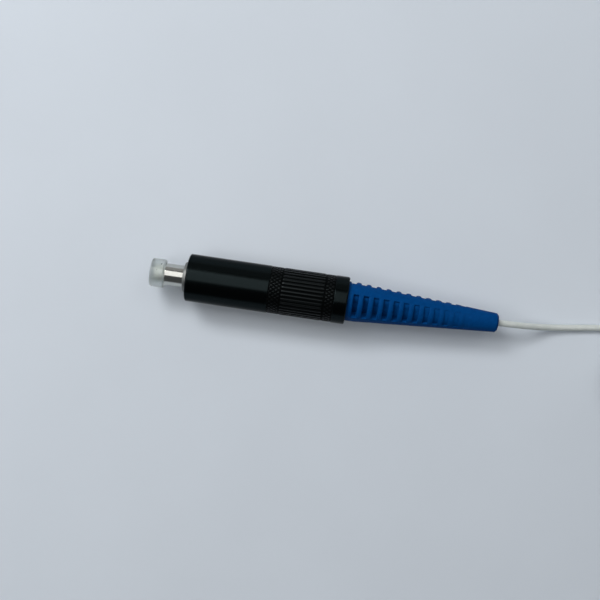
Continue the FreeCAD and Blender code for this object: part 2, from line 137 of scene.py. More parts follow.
# Pale floor just below the part
floorSet = {
    "size": 3.0,  # metres
    "drop": 0.02,  # millimetres
    "cloud": ((9, 9, 9), 3.0),
    "shades": ((0.3, (0.591, 0.64025, 0.69935)), (0.7, (0.609, 0.65975, 0.72065))),
    "values": {"Roughness": 0.7, "Specular IOR Level": 0.2},
    "fade": (0.09, 0.3),  # metres from the plug where the floor turns into the backdrop
}


def paleFloor():
    finish = plainFinish("paleFloor", floorSet)
    tree = finish.node_tree
    away = addVectorMath(tree, "LENGTH", objectCoords(tree))
    far = valueRange(tree, away, 0, 1, *floorSet["fade"])
    backdrop = addNode(tree, "ShaderNodeEmission", Color=(*roomSet["backdrop"], 1))
    shader = tree.nodes["Principled BSDF"]
    mixShaders(tree, far, shader.outputs["BSDF"], backdrop.outputs["Emission"], "Material Output")
    return finish


def addFloor():
    bpy.ops.mesh.primitive_plane_add(size=floorSet["size"], location=(0, 0, -floorSet["drop"] * mm))
    floor = bpy.context.object
    floor.name = "pale_floor"
    floor.data.materials.append(paleFloor())


# Shorthand for node trees
def addNode(tree, kind, **values):
    node = tree.nodes.new(kind)
    for name, value in values.items():
        if name in node.inputs:
            node.inputs[name].default_value = value
        else:
            setattr(node, name, value)
    return node


def addMath(tree, operation, *sources, kind="ShaderNodeMath", result="Value"):
    # Each source is a socket or a fixed value.
    node = addNode(tree, kind, operation=operation)
    for number, source in enumerate(sources):
        if isinstance(source, bpy.types.NodeSocket):
            tree.links.new(source, node.inputs[number])
        else:
            node.inputs[number].default_value = source
    return node.outputs[result]


def addVectorMath(tree, operation, *sources):
    result = "Value" if operation == "LENGTH" else "Vector"
    return addMath(tree, operation, *sources, kind="ShaderNodeVectorMath", result=result)


def mixShaders(tree, share, first, second, output):
    mix = addNode(tree, "ShaderNodeMixShader")
    tree.links.new(share, mix.inputs["Fac"])
    tree.links.new(first, mix.inputs[1])
    tree.links.new(second, mix.inputs[2])
    tree.links.new(mix.outputs["Shader"], tree.nodes[output].inputs["Surface"])


def objectCoords(tree):
    return addNode(tree, "ShaderNodeTexCoord").outputs["Object"]


def splitAxes(tree, source):
    split = addNode(tree, "ShaderNodeSeparateXYZ")
    tree.links.new(source, split.inputs["Vector"])
    return split.outputs


def objectNoise(tree, scale, detail):
    # A noise on object coordinates; scale is repeats per metre along X, Y and Z.
    mapping = addNode(tree, "ShaderNodeMapping", Scale=scale)
    tree.links.new(objectCoords(tree), mapping.inputs["Vector"])
    noise = addNode(tree, "ShaderNodeTexNoise", Detail=detail)
    tree.links.new(mapping.outputs["Vector"], noise.inputs["Vector"])
    return noise.outputs["Fac"]


def colorRamp(tree, source, stops):
    # Shades between two stops, each a place and a colour.
    ramp = addNode(tree, "ShaderNodeValToRGB")
    for element, (place, color) in zip(ramp.color_ramp.elements, stops):
        element.position = place
        element.color = (*color, 1)
    tree.links.new(source, ramp.inputs["Fac"])
    return ramp.outputs["Color"]


def valueRange(tree, source, low, high, fromLow=0.3, fromHigh=0.7):
    # Maps a source to low and high; most of a noise lies between 0.3 and 0.7.
    span = addNode(tree, "ShaderNodeMapRange")
    span.inputs["From Min"].default_value = fromLow
    span.inputs["From Max"].default_value = fromHigh
    span.inputs["To Min"].default_value = low
    span.inputs["To Max"].default_value = high
    tree.links.new(source, span.inputs["Value"])
    return span.outputs["Result"]


def addBump(tree, shader, height, distance, strength):
    # The distance is in millimetres.
    bump = addNode(tree, "ShaderNodeBump", Strength=strength, Distance=distance * mm)
    tree.links.new(height, bump.inputs["Height"])
    tree.links.new(bump.outputs["Normal"], shader.inputs["Normal"])


def newFinish(name):
    finish = bpy.data.materials.new(name)
    finish.use_nodes = True
    tree = finish.node_tree
    return finish, tree, tree.nodes["Principled BSDF"]


def plainFinish(name, settings):
    # A cloud shades the colour, a grain varies the roughness and lines raise the bump; each falls back
    # on the one before. All three are (repeats per metre, detail), and a bump is (millimetres, strength).
    finish, tree, shader = newFinish(name)
    cloud = objectNoise(tree, *settings["cloud"])
    grain = objectNoise(tree, *settings["grain"]) if "grain" in settings else cloud
    lines = objectNoise(tree, *settings["lines"]) if "lines" in settings else grain
    tree.links.new(colorRamp(tree, cloud, settings["shades"]), shader.inputs["Base Color"])
    if "roughness" in settings:
        rough = valueRange(tree, grain, *settings["roughness"])
        tree.links.new(rough, shader.inputs["Roughness"])
    if "bump" in settings:
        addBump(tree, shader, lines, *settings["bump"])
    for value, amount in settings.get("values", {}).items():
        shader.inputs[value].default_value = amount
    return finish


# Black anodised metal: fine turning lines round the axis, and a slightly uneven coat
anodisedSet = {
    "cloud": ((700, 900, 900), 4.0),
    "shades": ((0.35, (0.0088, 0.0122, 0.0128)), (0.72, (0.0106, 0.0145, 0.0152))),
    "roughness": (0.18, 0.23),
    "lines": ((26000, 300, 300), 2.0),
    "bump": (0.002, 0.2),
    "values": {"Metallic": 1.0, "Specular Tint": (0.6, 0.6, 0.6, 1)},
}

# Matt knurled band with a fine moulded grain; its gloss is turned down in the hollows, painted shade where
# the hollows lie in shadow
gripSet = {
    "cloud": ((1200, 1200, 1200), 3.0),
    "shades": ((0.35, (0.0011, 0.0014, 0.0015)), (0.7, (0.0021, 0.0026, 0.0027))),
    "grain": ((9000, 9000, 9000), 3.0),
    "roughness": (0.2, 0.27),
    "bump": (0.01, 0.25),
    "values": {"Specular Tint": (0.84, 0.97, 1, 1)},
    "crest": 0.01,  # millimetres below the band's radius; from here up the gloss is full
    "hollow": 0.055,  # and from here down the gloss is least, painted shade in the hollows
    "shadedGloss": (0.01, 0.2),  # gloss in the hollows, cut as painted shade, and on the crests
}


def blackMoulded():
    finish = plainFinish("blackMoulded", gripSet)
    tree = finish.node_tree
    # Painted shade: the gloss falls from the crests to the hollows by distance from the axis, standing in
    # for the shade between the ribs and lattice lines.
    fromAxis = addVectorMath(tree, "SUBTRACT", objectCoords(tree), (0, 0, axisZ))
    across = addVectorMath(tree, "MULTIPLY", fromAxis, (0, 1, 1))
    away = addVectorMath(tree, "LENGTH", across)
    levels = [(bandSet["radius"] - gripSet[level]) * mm for level in ("hollow", "crest")]
    shadedGloss = valueRange(tree, away, *gripSet["shadedGloss"], *levels)
    tree.links.new(shadedGloss, tree.nodes["Principled BSDF"].inputs["Specular IOR Level"])
    return finish


# Bright nickel plate with turning lines; the collar is blasted matt
nickelSet = {
    "cloud": ((900, 900, 900), 4.0),
    "shades": ((0.3, (0.51, 0.51, 0.475)), (0.7, (0.56, 0.56, 0.53))),
    "lines": ((30000, 200, 200), 2.0),
    "bump": (0.002, 0.08),
    "values": {"Metallic": 1.0},
    "collarFront": -19.95,  # millimetres; all behind it counts as the collar
    "collar": (0.24, 0.245, 0.24),
    "roughSteps": (0.13, 0.5),  # before and behind the collar's front
}


def nickelPlate():
    finish = plainFinish("nickelPlate", nickelSet)
    tree = finish.node_tree
    shader = tree.nodes["Principled BSDF"]
    along = splitAxes(tree, objectCoords(tree))["X"]
    behind = addMath(tree, "GREATER_THAN", along, nickelSet["collarFront"] * mm)
    plate = shader.inputs["Base Color"].links[0].from_socket
    shade = addNode(tree, "ShaderNodeMix", data_type="RGBA")
    tree.links.new(behind, shade.inputs["Factor"])
    tree.links.new(plate, shade.inputs["A"])
    shade.inputs["B"].default_value = (*nickelSet["collar"], 1)
    tree.links.new(shade.outputs["Result"], shader.inputs["Base Color"])
    rough = valueRange(tree, behind, *nickelSet["roughSteps"], 0, 1)
    tree.links.new(rough, shader.inputs["Roughness"])
    return finish


# Clear soft plastic, a little cloudy, with faint flow marks
clearSet = {
    "cloud": ((500, 300, 300), 2.0),
    "shades": ((0.3, (0.735, 0.775, 0.755)), (0.7, (0.785, 0.82, 0.80))),
    "roughness": (0.27, 0.33),
    "bump": (0.01, 0.08),
    "values": {"IOR": 1.4, "Transmission Weight": 0.95, "Specular IOR Level": 0.15},
}

# Polished ceramic
ceramicSet = {
    "cloud": ((1500, 1500, 1500), 3.0),
    "shades": ((0.3, (0.80, 0.80, 0.77)), (0.7, (0.86, 0.86, 0.84))),
    "roughness": (0.1, 0.16),
    "values": {"IOR": 2.1},
}

# Drawn glass
glassSet = {
    "cloud": ((300, 9000, 9000), 2.0),
    "shades": ((0.3, (0.86, 0.9, 0.93)), (0.7, (0.95, 0.97, 0.98))),
    "values": {"Roughness": 0.05, "Transmission Weight": 0.9},
}

# Drawn wire and stamped rings: bright steel with fine draw marks
steelSet = {
    "cloud": ((4000, 16000, 16000), 3.0),
    "shades": ((0.3, (0.42, 0.43, 0.44)), (0.7, (0.58, 0.59, 0.6))),
    "roughness": (0.22, 0.34),
    "bump": (0.004, 0.2),
    "values": {"Metallic": 1.0},
}

# Turned brass
brassSet = {
    "cloud": ((12000, 900, 900), 3.0),
    "shades": ((0.3, (0.56, 0.40, 0.15)), (0.7, (0.70, 0.54, 0.25))),
    "roughness": (0.2, 0.32),
    "bump": (0.004, 0.2),
    "values": {"Metallic": 1.0},
}

# Natural plastic tube, streaked lengthwise
linerSet = {
    "cloud": ((400, 3000, 3000), 3.0),
    "shades": ((0.3, (0.70, 0.69, 0.64)), (0.7, (0.80, 0.79, 0.75))),
    "bump": (0.01, 0.2),
    "values": {"Roughness": 0.42},
}

# Satin moulded rubber with a fine grain and faint shade changes
rubberSet = {
    "cloud": ((420, 420, 420), 4.0),
    "shades": ((0.3, (0.0004, 0.041, 0.164)), (0.7, (0.0007, 0.05, 0.191))),
    "grain": ((7000, 7000, 7000), 3.0),
    "roughness": (0.42, 0.54),
    "bump": (0.012, 0.22),
    "values": {"Specular IOR Level": 0.02},
}

# Extruded white jacket: faint shade changes and a satin grain
bufferSet = {
    "cloud": ((260, 260, 260), 4.0),
    "shades": ((0.3, (0.535, 0.57, 0.553)), (0.7, (0.59, 0.62, 0.603))),
    "grain": ((9000, 9000, 9000), 2.0),
    "roughness": (0.34, 0.44),
    "bump": (0.004, 0.15),
}

# Woven strap: two crossing sets of fine ribs
weaveSet = {
    "waves": {"X": 18000.0, "Y": 14000.0, "Z": 14000.0},  # radians per metre
    "span": (-1.5, 1.5),
    "shades": ((0.25, (0.60, 0.60, 0.58)), (0.75, (0.78, 0.78, 0.76))),
    "roughness": 0.75,
    "bump": (0.02, 0.5),
}


def strapWeave():
    finish, tree, shader = newFinish("strapWeave")
    axes = splitAxes(tree, objectCoords(tree))
    waves = {}
    for axis, rate in weaveSet["waves"].items():
        waves[axis] = addMath(tree, "SINE", addMath(tree, "MULTIPLY", axes[axis], rate))
    weave = addMath(tree, "MULTIPLY", waves["X"], addMath(tree, "ADD", waves["Y"], waves["Z"]))
    level = valueRange(tree, weave, 0, 1, *weaveSet["span"])
    tree.links.new(colorRamp(tree, level, weaveSet["shades"]), shader.inputs["Base Color"])
    shader.inputs["Roughness"].default_value = weaveSet["roughness"]
    addBump(tree, shader, weave, *weaveSet["bump"])
    return finish


# Modelling helpers, and the values they share
shapeSet = {
    "mergeGap": 0.0005,  # millimetres
    "longRun": 4,  # support gaps; a shorter run needs no support rings
    "edgeSteps": 2,
    "edgeAngle": 30,
    "smoothAngle": 35,
}


def easeBetween(value, middle, span):
    # Rises smoothly from 0 to 1 over the span about the middle.
    share = min(1.0, max(0.0, (value - middle) / span + 0.5))
    return share * share * (3 - 2 * share)


def deselectAll():
    bpy.ops.object.select_all(action="DESELECT")


def editPiece(piece, selectKind):
    bpy.context.view_layer.objects.active = piece
    bpy.ops.object.mode_set(mode="EDIT")
    bpy.ops.mesh.select_mode(type=selectKind)
    bpy.ops.mesh.select_all(action="DESELECT")
    bpy.ops.object.mode_set(mode="OBJECT")


def mergePoints(piece):
    # Stays in edit mode, with everything selected.
    bpy.context.view_layer.objects.active = piece
    bpy.ops.object.mode_set(mode="EDIT")
    bpy.ops.mesh.select_all(action="SELECT")
    bpy.ops.mesh.remove_doubles(threshold=shapeSet["mergeGap"] * mm)


def selectPoints(piece, test):
    editPiece(piece, "VERT")
    for point in piece.data.vertices:
        point.select = test(point.co)
    bpy.ops.object.mode_set(mode="EDIT")


def selectFaces(piece, test):
    editPiece(piece, "FACE")
    for face in piece.data.polygons:
        face.select = test(face.center)
    bpy.ops.object.mode_set(mode="EDIT")


def leaveEdit():
    bpy.ops.object.mode_set(mode="OBJECT")


def scaleRound(factor):
    # Scales the selection towards or away from the plug's axis.
    bpy.ops.transform.resize(value=(1, factor, factor), center_override=(0, 0, axisZ))


def rollOf(point):
    # Degrees round the axis, from straight up towards -Y.
    return math.degrees(math.atan2(-point.y, point.z - axisZ))


def awayOf(point):
    # Millimetres from the axis.
    return math.hypot(point.y, point.z - axisZ) / mm


def moveAway(point, away, target):
    # Moves one point from one distance from the axis to another.
    point.y *= target / away
    point.z = axisZ + (point.z - axisZ) * target / away


def withSupport(profile, gap):
    # Adds a ring near both ends of each long run, so that soft edges don't tilt the shading between them.
    rings = [profile[0]]
    for (x, radius), (nextX, nextRadius) in zip(profile, profile[1:]):
        length = math.hypot(nextX - x, nextRadius - radius)
        if length > shapeSet["longRun"] * gap:
            for share in (gap / length, 1 - gap / length):
                rings.append((x + (nextX - x) * share, radius + (nextRadius - radius) * share))
        rings.append((nextX, nextRadius))
    return rings


def turnProfile(name, profile, segments, support=0.0):
    # Turns a profile of (x, radius) pairs in millimetres, ring by ring, round the plug's axis.
    if support:
        profile = withSupport(profile, support)
    deselectAll()
    startX, startRadius = profile[0]
    bpy.ops.mesh.primitive_circle_add(vertices=segments, radius=startRadius * mm,
                                      location=(startX * mm, 0, axisZ), rotation=(0, math.pi / 2, 0))
    piece = bpy.context.object
    piece.name = name
    piece.data.name = name
    bpy.ops.object.transform_apply(location=True, rotation=True, scale=True)
    bpy.ops.object.mode_set(mode="EDIT")
    bpy.ops.mesh.select_mode(type="VERT")
    bpy.ops.mesh.select_all(action="SELECT")
    for (x, radius), (nextX, nextRadius) in zip(profile, profile[1:]):
        bpy.ops.mesh.extrude_region_move(TRANSFORM_OT_translate={"value": ((nextX - x) * mm, 0, 0)})
        if nextRadius == 0:
            bpy.ops.mesh.merge(type="CENTER")
        elif nextRadius != radius:
            scaleRound(nextRadius / radius)
    mergePoints(piece)
    bpy.ops.mesh.normals_make_consistent(inside=False)
    leaveEdit()
    return piece


def finishPiece(piece, body, finish, edge=0.0, smoothAngle=shapeSet["smoothAngle"]):
    deselectAll()
    piece.select_set(True)
    bpy.context.view_layer.objects.active = piece
    if edge:
        bevel = piece.modifiers.new("softEdges", "BEVEL")
        bevel.width = edge * mm
        bevel.segments = shapeSet["edgeSteps"]
        bevel.limit_method = "ANGLE"
        bevel.angle_limit = math.radians(shapeSet["edgeAngle"])
        bpy.ops.object.modifier_apply(modifier=bevel.name)
    bpy.ops.object.shade_smooth_by_angle(angle=math.radians(smoothAngle))
    piece.data.materials.clear()
    piece.data.materials.append(finish)
    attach(piece, body)
    print("made", piece.name, len(piece.data.polygons), "faces")


# White lead: the visible run, then the spare length folded into a hank of three lanes and six layers
leadSet = {
    "radius": 0.45,
    "declaredLength": 0.87,
    "exit": (24.55, 0.0, 3.35),
    "route": [
        (21.05, 0.0, 3.35),
        (26.6, 0.0, 3.35),
        (32.7, 0.42, 0.46),
        (39.0, 1.4, 0.46),
        (45.2, 2.1, 0.46),
    ],
    "hankY": -2.5,
    "foldNear": 47.05,
    "foldFar": 61.35,
    "outerLane": 4.6,
    "innerLane": 2.7,
    "lanes": 3,
    "floorZ": 0.46,
    "layerStep": 0.905,
    "layers": 6,
    "firstChange": 0.62,
    "early": 0.11,
    "changeSpan": 0.16,
    "turns": 16.4,
    "straightStops": (0.0, 0.18, 0.3, 0.39, 0.5, 0.61, 0.7, 0.82),
    "foldSteps": 7,
    "waistStops": (0.39, 0.5, 0.61),
    "waistPull": 0.945,
    "waistLift": 0.3,
    "order": 3,
    "resolution": 4,
    "roundness": 4,
}


def hankPlan():
    # Lists when the lead changes lane (turn, by how many lanes) and when it climbs a layer.
    laneChanges = []
    climbs = []
    change = leadSet["firstChange"]
    inward = 1
    for layer in range(leadSet["layers"]):
        laneChanges += [(change, inward), (change + 1, inward)]
        climb = change + 2 - leadSet["early"]
        climbs.append(climb)
        change = climb + 1 - leadSet["early"]
        inward = -inward
    return laneChanges, climbs[:-1]


def hankPoint(turn, side, share, plan):
    # One control point; side 0 is the +Y straight, 1 the far fold, 2 the -Y straight, 3 the near fold.
    laneChanges, climbs = plan
    lane = sum(step * easeBetween(turn, when, leadSet["changeSpan"]) for when, step in laneChanges)
    layer = sum(easeBetween(turn, when, leadSet["changeSpan"]) for when in climbs)
    outer, inner = leadSet["outerLane"], leadSet["innerLane"]
    radius = outer + (inner - outer) * lane / (leadSet["lanes"] - 1)
    z = leadSet["floorZ"] + leadSet["layerStep"] * layer
    near, far, middleY = leadSet["foldNear"], leadSet["foldFar"], leadSet["hankY"]
    if side in (0, 2):
        if share in leadSet["waistStops"]:
            radius *= leadSet["waistPull"]
            z += leadSet["waistLift"]
        along = near + (far - near) * share if side == 0 else far - (far - near) * share
        return (along, middleY + (radius if side == 0 else -radius), z)
    foldTurn = math.pi / (leadSet["foldSteps"] - 1)
    angle = share * math.pi
    reach = radius / math.cos(foldTurn / 2) if 0 < share < 1 else radius
    if side == 1:
        return (far + reach * math.sin(angle), middleY + reach * math.cos(angle), z)
    return (near - reach * math.sin(angle), middleY - reach * math.cos(angle), z)


def hankPoints():
    plan = hankPlan()
    stops = []
    for side in range(4):
        if side in (0, 2):
            shares = leadSet["straightStops"]
        else:
            shares = [step / (leadSet["foldSteps"] - 1) for step in range(leadSet["foldSteps"])]
        stops += [(side, share) for share in shares]
    points = []
    for whole in range(math.ceil(leadSet["turns"])):
        for side, share in stops:
            turn = whole + (side + share) / 4
            if turn <= leadSet["turns"]:
                points.append(hankPoint(turn, side, share, plan))
    return points


def makeLead(finish):
    points = leadSet["route"] + hankPoints()
    curve = bpy.data.curves.new("white_lead", "CURVE")
    curve.dimensions = "3D"
    spline = curve.splines.new("NURBS")
    spline.points.add(len(points) - 1)
    for target, (x, y, z) in zip(spline.points, points):
        target.co = (x * mm, y * mm, z * mm, 1)
    spline.order_u = leadSet["order"]
    spline.use_endpoint_u = True
    spline.resolution_u = leadSet["resolution"]
    curve.bevel_depth = leadSet["radius"] * mm
    curve.bevel_resolution = leadSet["roundness"]
    curve.use_fill_caps = True
    lead = bpy.data.objects.new("white_lead", curve)
    scene.collection.objects.link(lead)
    curve.materials.append(finish)
    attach(lead, "plug")
    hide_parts("cable", "cable_hank")
    print("made", lead.name, "through", len(points), "points")
    return lead


# Strap round the hank's waist, with its tail lapped over the top
strapSet = {
    "thickness": 0.26,
    "corner": 1.1,
    "cornerSteps": 5,
    "tailLength": 4.6,
    "tailWidth": 0.98,  # of the strap's own
    "tailGap": 0.02,
    "endSlack": 0.01,
    "edge": 0.06,
}


def makeStrap(finish):
    low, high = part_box("hank_tie")
    middle = (low + high) / 2
    size = high - low
    wall = strapSet["thickness"] * mm
    deselectAll()
    bpy.ops.mesh.primitive_cube_add(size=1, location=middle)
    strap = bpy.context.object
    strap.name = "hank_strap"
    strap.scale = (size.x, size.y - wall, size.z - 2 * wall)
    strap.location.z -= wall / 2
    bpy.ops.object.transform_apply(location=True, rotation=True, scale=True)
    # Round the four long corners, then open the two ends
    editPiece(strap, "EDGE")
    for edge in strap.data.edges:
        first, second = (strap.data.vertices[number].co for number in edge.vertices)
        edge.select = abs(first.x - second.x) > size.x / 2
    bpy.ops.object.mode_set(mode="EDIT")
    bpy.ops.mesh.bevel(offset=strapSet["corner"] * mm, segments=strapSet["cornerSteps"])
    leaveEdit()
    slack = strapSet["endSlack"] * mm
    selectFaces(strap, lambda centre: abs(abs(centre.x - middle.x) - size.x / 2) < slack)
    bpy.ops.mesh.delete(type="FACE")
    leaveEdit()
    # The tail is a flap of the same strap, laid on the top
    deselectAll()
    bpy.ops.mesh.primitive_plane_add(size=1, location=(middle.x, middle.y, high.z - wall / 2))
    tail = bpy.context.object
    tail.scale = (size.x * strapSet["tailWidth"], strapSet["tailLength"] * mm, 1)
    bpy.ops.object.transform_apply(location=True, rotation=True, scale=True)
    strap.select_set(True)
    bpy.context.view_layer.objects.active = strap
    bpy.ops.object.join()
    solid = strap.modifiers.new("thickness", "SOLIDIFY")
    solid.thickness = wall - strapSet["tailGap"] * mm
    solid.offset = 0
    bpy.ops.object.modifier_apply(modifier=solid.name)
    finishPiece(strap, "plug", finish, strapSet["edge"])
    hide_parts("hank_tie")
    return strap


# Black release sleeve, with its bores, lands and the seat of the grip band
sleeveSet = {
    "segments": 160,
    "chamfer": 0.12,
    "mouth": 3.0,
    "mouthLength": 1.22,
    "lockLand": 2.8,
    "lockLandLength": 1.0,
    "frontBore": 2.95,
    "stopFront": 7.27,
    "stopLand": 2.26,
    "stopLength": 1.5,
    "springBore": 2.8,
    "rearBore": 2.9,
    "rearLength": 1.75,
    "seat": 3.05,
    "groove": 0.06,
    "edge": 0.03,
    "support": 0.07,
}


def makeSleeve(finish):
    front = sleeveLow.x / mm
    rear = sleeveHigh.x / mm
    outer = (sleeveHigh.z - sleeveLow.z) / 2 / mm
    bandLow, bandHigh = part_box("grip_band")
    gripFront = bandLow.x / mm
    gripRear = bandHigh.x / mm
    chamfer, groove, seat = sleeveSet["chamfer"], sleeveSet["groove"], sleeveSet["seat"]
    landFront = front + sleeveSet["mouthLength"]
    landRear = landFront + sleeveSet["lockLandLength"]
    stopFront = front + sleeveSet["stopFront"]
    stopRear = stopFront + sleeveSet["stopLength"]
    boreRear = rear - sleeveSet["rearLength"]
    profile = [
        (front, sleeveSet["mouth"]),
        (front, outer - chamfer),
        (front + chamfer, outer),
        (gripFront - groove, outer),
        (gripFront, outer - groove),
        (gripFront, seat),
        (gripRear, seat),
        (gripRear, outer - groove),
        (gripRear + groove, outer),
        (rear - chamfer, outer),
        (rear, outer - chamfer),
        (rear, sleeveSet["rearBore"]),
        (boreRear, sleeveSet["rearBore"]),
        (boreRear, sleeveSet["springBore"]),
        (stopRear, sleeveSet["springBore"]),
        (stopRear, sleeveSet["stopLand"]),
        (stopFront, sleeveSet["stopLand"]),
        (stopFront, sleeveSet["frontBore"]),
        (landRear, sleeveSet["frontBore"]),
        (landRear, sleeveSet["lockLand"]),
        (landFront, sleeveSet["lockLand"]),
        (landFront, sleeveSet["mouth"]),
        (front, sleeveSet["mouth"]),
    ]
    sleeve = turnProfile("black_sleeve", profile, sleeveSet["segments"], sleeveSet["support"])
    finishPiece(sleeve, "sleeve", finish, sleeveSet["edge"])
    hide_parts("release_sleeve")


# Grip band: 36 rounded ribs between two crossed lattices, on columns one degree apart.
# The profiles give the depth at each column from a rib's crest or a line's middle.
bandSet = {
    "columns": 360,
    "radius": 3.33,
    "seat": 3.05,
    "rim": 0.09,
    "rimLength": 0.1,
    "channelFront": 1.56,
    "channelRear": 7.65,
    "channelWidth": 0.2,
    "channelDepth": 0.055,
    "ribStep": 10,
    "ribProfile": (0.0, 0.004, 0.018, 0.058, 0.09, 0.1),
    "ribEnds": ((0.0, 0.055), (0.06, 0.032), (0.14, 0.01), (0.26, 0.0)),
    "lineStep": 10,
    "lineProfile": (0.08, 0.06, 0.042, 0.03, 0.024, 0.02),
    "lean": 0.8,
    "slack": 0.001,
    "smoothAngle": 50,
}


def latticeRows(start, end, radiusAt, step):
    count = round((end - start) / step)
    stops = [start + (end - start) * number / count for number in range(count + 1)]
    return [(x, radiusAt(x)) for x in stops]


def makeBand(finish):
    s = bandSet
    bandLow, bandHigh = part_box("grip_band")
    front = bandLow.x / mm
    length = (bandHigh.x - bandLow.x) / mm
    radius, slack = s["radius"], s["slack"]
    floor = radius - s["channelDepth"]
    ribFront = s["channelFront"] + s["channelWidth"]
    ribRear = s["channelRear"]
    latticeRear = ribRear + s["channelWidth"]
    # One row of points for each column of lean, so that the lines run through the points
    rowStep = math.radians(360 / s["columns"]) * radius / s["lean"]

    def edgeRadius(x):
        return radius - s["rim"] * max(0.0, 1 - min(x, length - x) / s["rimLength"])

    rows = [(0.0, s["seat"])]
    rows += latticeRows(0.0, s["channelFront"], edgeRadius, rowStep)
    rows += [(s["channelFront"], floor)]
    rows += [(ribFront + along, radius - drop) for along, drop in s["ribEnds"]]
    rows += [(ribRear - along, radius - drop) for along, drop in reversed(s["ribEnds"])]
    rows += [(latticeRear, floor)]
    rows += latticeRows(latticeRear, length, edgeRadius, rowStep)
    rows += [(length, s["seat"]), (0.0, s["seat"])]
    band = turnProfile("grip_ribs", [(front + x, r) for x, r in rows], s["columns"])

    def deepen(test, depth):
        # Lowers the chosen points to one depth below the band's own radius, never raising any.
        target = radius - depth
        chosen = {}
        for number, point in enumerate(band.data.vertices):
            along = point.co.x / mm - front
            column = round(rollOf(point.co) * s["columns"] / 360)
            away = awayOf(point.co)
            if away > target + slack and test(along, column):
                chosen.setdefault(round(away, 4), set()).add(number)
        for away, numbers in chosen.items():
            editPiece(band, "VERT")
            for number in numbers:
                band.data.vertices[number].select = True
            bpy.ops.object.mode_set(mode="EDIT")
            scaleRound(target / away)
            leaveEdit()

    half = s["ribStep"] // 2
    for offset, depth in enumerate(s["ribProfile"]):
        if depth:
            deepen(lambda along, column: ribFront - slack <= along <= ribRear + slack
                   and half - abs(column % s["ribStep"] - half) == offset, depth)

    def onLine(along, column, offset):
        if s["channelFront"] + slack <= along <= latticeRear - slack:
            return False
        start = 0.0 if along < length / 2 else latticeRear
        end = s["channelFront"] if along < length / 2 else length
        count = round((end - start) / rowStep)
        row = round((along - start) / (end - start) * count) - count // 2
        places = [column + side * row + shift for side in (1, -1) for shift in (offset, -offset)]
        return any(place % s["lineStep"] == 0 for place in places)

    for offset, depth in enumerate(s["lineProfile"]):
        deepen(lambda along, column: onLine(along, column, offset), depth)
    # Points fall together where a line meets a channel
    mergePoints(band)
    leaveEdit()
    finishPiece(band, "sleeve", finish, smoothAngle=s["smoothAngle"])
    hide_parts("grip_band")


# Blue boot: a tapered skin cut by three rows of slots, each a third of a pitch behind the last
bootSet = {
    "segments": 144,
    "support": 0.14,
    "front": 0.5,
    "length": 24.05,
    "radius": 2.77,
    "plain": 4.1,
    "tipRadius": 1.34,
    "tipBevel": 0.25,
    "socketRadius": 1.0,
    "socketLength": 5.0,
    "bore": 0.6,
    "tipBore": 0.47,
    "tipBoreLength": 2.6,
    "core": 1.64,
    "leastDepth": 0.05,
    "slotFront": 3.1,
    "pitch": 1.42,
    "pitchRows": 6,  # rows of faces to each pitch
    "slotRows": 3,  # and to each slot
    "ringGap": 0.02,
    "slots": 12,
    "rows": 3,
    "sweep": 75.0,
    "roll": 16.0,
    "rollSlack": 0.1,
    "skinShare": 0.9,  # of the skin's radius; the bores lie below it
    "skinSlack": 0.01,
    "crown": 0.075,
    "crownSweep": 12.0,
    "crownDepth": 0.4,  # a shallower slot has a lower crown
    "rimSlack": 0.05,  # of a slot's length
    "rampSweep": 34.0,
    "rampDepth": 0.42,
    "floorLowest": 1.24,
    "floorShare": 0.1,  # of a slot's depth; what lies deeper is its floor
    "floorSpan": 0.3,  # the depth that counts where a slot is shallower
    "sharpAngle": 50,
    "edge": 0.09,
    "edgeShare": 0.16,  # of a slot's depth, at most
    "edgeSteps": 2,
    "rimDrop": 0.02,  # below the skin; a rim lies no deeper than this or its own rounding
}


def bootSkin(x):
    # Radius of the uncut boot: straight at first, then tapered.
    s = bootSet
    taperFront = s["front"] + s["plain"]
    taperEnd = s["front"] + s["length"] - s["tipBevel"]
    share = max(0.0, (x - taperFront) / (taperEnd - taperFront))
    return s["radius"] + (s["tipRadius"] - s["radius"]) * share


def rollFromRow(point, row):
    # Degrees round the axis from the middle of one row of slots; row 1 is the one that lies at the roll.
    middle = bootSet["roll"] + (row - 1) * 360 / bootSet["rows"]
    return abs((rollOf(point) - middle + 180) % 360 - 180)


def cutSlots(boot, slotFront, rowStep):
    s = bootSet
    for row in range(s["rows"]):
        for number in range(s["slots"]):
            start = slotFront + row * s["pitch"] / s["rows"] + number * s["pitch"]
            stop = start + s["slotRows"] * rowStep
            radius = bootSkin((start + stop) / 2)

            def inSlot(centre):
                onSkin = awayOf(centre) > s["skinShare"] * radius
                return start < centre.x / mm < stop and onSkin and rollFromRow(centre, row) < s["sweep"] / 2

            selectFaces(boot, inSlot)
            bpy.ops.mesh.extrude_region_move()
            scaleRound(min(s["core"], radius - s["leastDepth"]) / radius)
            leaveEdit()


def crownRidges(boot, slotFront, rowStep):
    # The ridges between slots are crowned: their sides, the slots' rims, lie lower.
    s = bootSet
    for point in boot.data.vertices:
        along = point.co.x / mm
        skin = bootSkin(along)
        away = awayOf(point.co)
        depth = max(skin - s["core"], s["leastDepth"])
        for row in range(s["rows"]):
            inside = s["sweep"] / 2 - rollFromRow(point.co, row)
            steps = (along - slotFront) / rowStep - s["pitchRows"] * row / s["rows"]
            rim = round(steps / s["slotRows"])
            onRim = abs(steps / s["slotRows"] - rim) < s["rimSlack"] and 0 <= rim < 2 * s["slots"]
            if onRim and inside > 0 and away > skin - s["skinSlack"]:
                share = min(1.0, inside / s["crownSweep"])
                drop = s["crown"] * share * min(1.0, depth / s["crownDepth"])
                moveAway(point.co, away, skin - drop)


